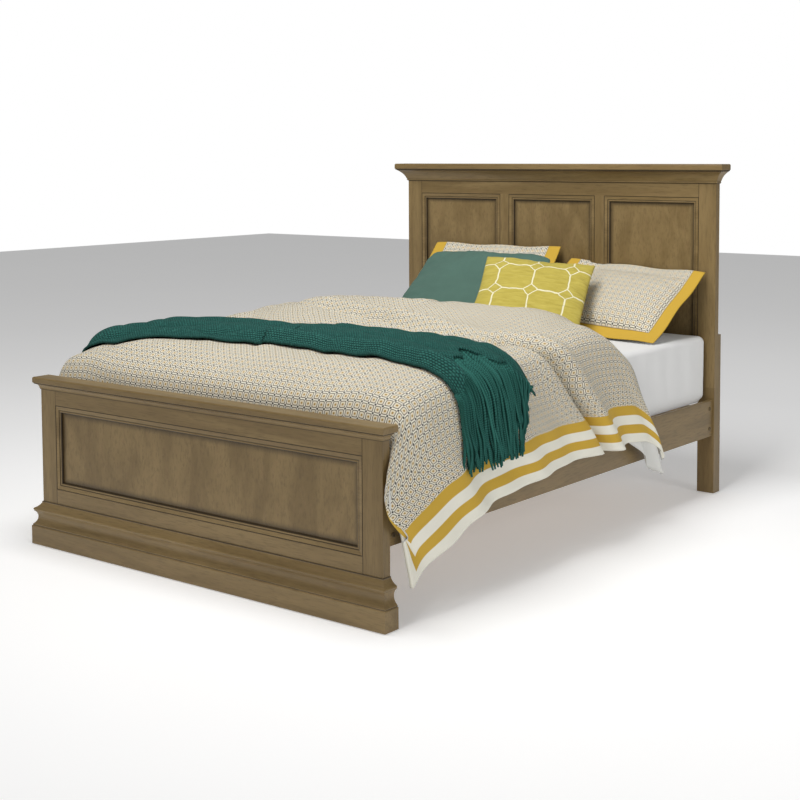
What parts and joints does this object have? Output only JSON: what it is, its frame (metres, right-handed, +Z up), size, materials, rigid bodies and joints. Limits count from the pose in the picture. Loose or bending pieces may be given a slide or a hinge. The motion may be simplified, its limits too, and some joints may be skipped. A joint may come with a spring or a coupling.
{
  "type": "platform bed",
  "caption": "Slat-supported panel bed with a crowned three-panel headboard and a low moulded footboard, made up with mattress, comforter, throw and pillows.",
  "frame": {"origin": "on the floor under the middle of the bed's overall length and width", "axes": "+X to the right seen from the foot, +Y from the foot towards the head, +Z up"},
  "size_m": [1.7334, 2.234, 1.352],
  "materials": {
    "stained_maple": "grey-brown stained maple with a dark glaze in the grooves, satin lacquer",
    "plain_slat_wood": "planed softwood, unfinished",
    "steel_screws": "zinc plated",
    "bronze_bolts": "antique bronze plating",
    "glide_plastic": "dark nylon",
    "mattress_cover": "white knitted ticking",
    "white_sheet": "white woven cotton",
    "comforter_print": "cream cotton printed with small diamonds, gold border bands",
    "teal_knit": "loose chunky knit",
    "sham_print": "cream cotton printed with small diamonds, gold flange, white back",
    "teal_cloth": "plain woven cotton",
    "yellow_cloth": "ruched cotton with a white lattice"
  },
  "bodies": {
    "root": {"headboard_left_stile": "stained_maple", "headboard_right_stile": "stained_maple", "headboard_top_rail": "stained_maple", "headboard_bottom_rail": "stained_maple", "headboard_left_mullion": "stained_maple", "headboard_right_mullion": "stained_maple", "headboard_left_panel": "stained_maple", "headboard_centre_panel": "stained_maple", "headboard_right_panel": "stained_maple", "headboard_left_panel_moulding": "stained_maple", "headboard_centre_panel_moulding": "stained_maple", "headboard_right_panel_moulding": "stained_maple", "headboard_cap_board": "stained_maple", "headboard_crown_moulding": "stained_maple", "headboard_left_leg": "stained_maple", "headboard_right_leg": "stained_maple", "footboard_left_stile": "stained_maple", "footboard_right_stile": "stained_maple", "footboard_top_rail": "stained_maple", "footboard_bottom_rail": "stained_maple", "footboard_panel": "stained_maple", "footboard_panel_moulding": "stained_maple", "footboard_cap_board": "stained_maple", "footboard_cap_moulding": "stained_maple", "footboard_plinth": "stained_maple", "footboard_base_moulding": "stained_maple", "left_side_rail": "stained_maple", "right_side_rail": "stained_maple", "left_slat_ledger": "plain_slat_wood", "right_slat_ledger": "plain_slat_wood", "centre_beam": "plain_slat_wood", "centre_leg_foot_end": "plain_slat_wood", "centre_leg_head_end": "plain_slat_wood", "slat_01": "plain_slat_wood", "slat_02": "plain_slat_wood", "slat_03": "plain_slat_wood", "slat_04": "plain_slat_wood", "slat_05": "plain_slat_wood", "slat_06": "plain_slat_wood", "slat_07": "plain_slat_wood", "slat_08": "plain_slat_wood", "slat_09": "plain_slat_wood", "slat_10": "plain_slat_wood", "slat_11": "plain_slat_wood", "headboard_leg_screws": "steel_screws", "ledger_screws": "steel_screws", "bracket_screws": "steel_screws", "slat_screws": "steel_screws", "rail_bolt_nuts": "steel_screws", "rail_brackets": "steel_screws", "rail_bolts": "bronze_bolts", "floor_glides": "glide_plastic", "mattress": "mattress_cover", "fitted_sheet": "white_sheet", "comforter": "comforter_print", "throw": "teal_knit", "left_sham": "sham_print", "right_sham": "sham_print", "teal_pillow": "teal_cloth", "yellow_cushion": "yellow_cloth"}
  },
  "joints": []
}
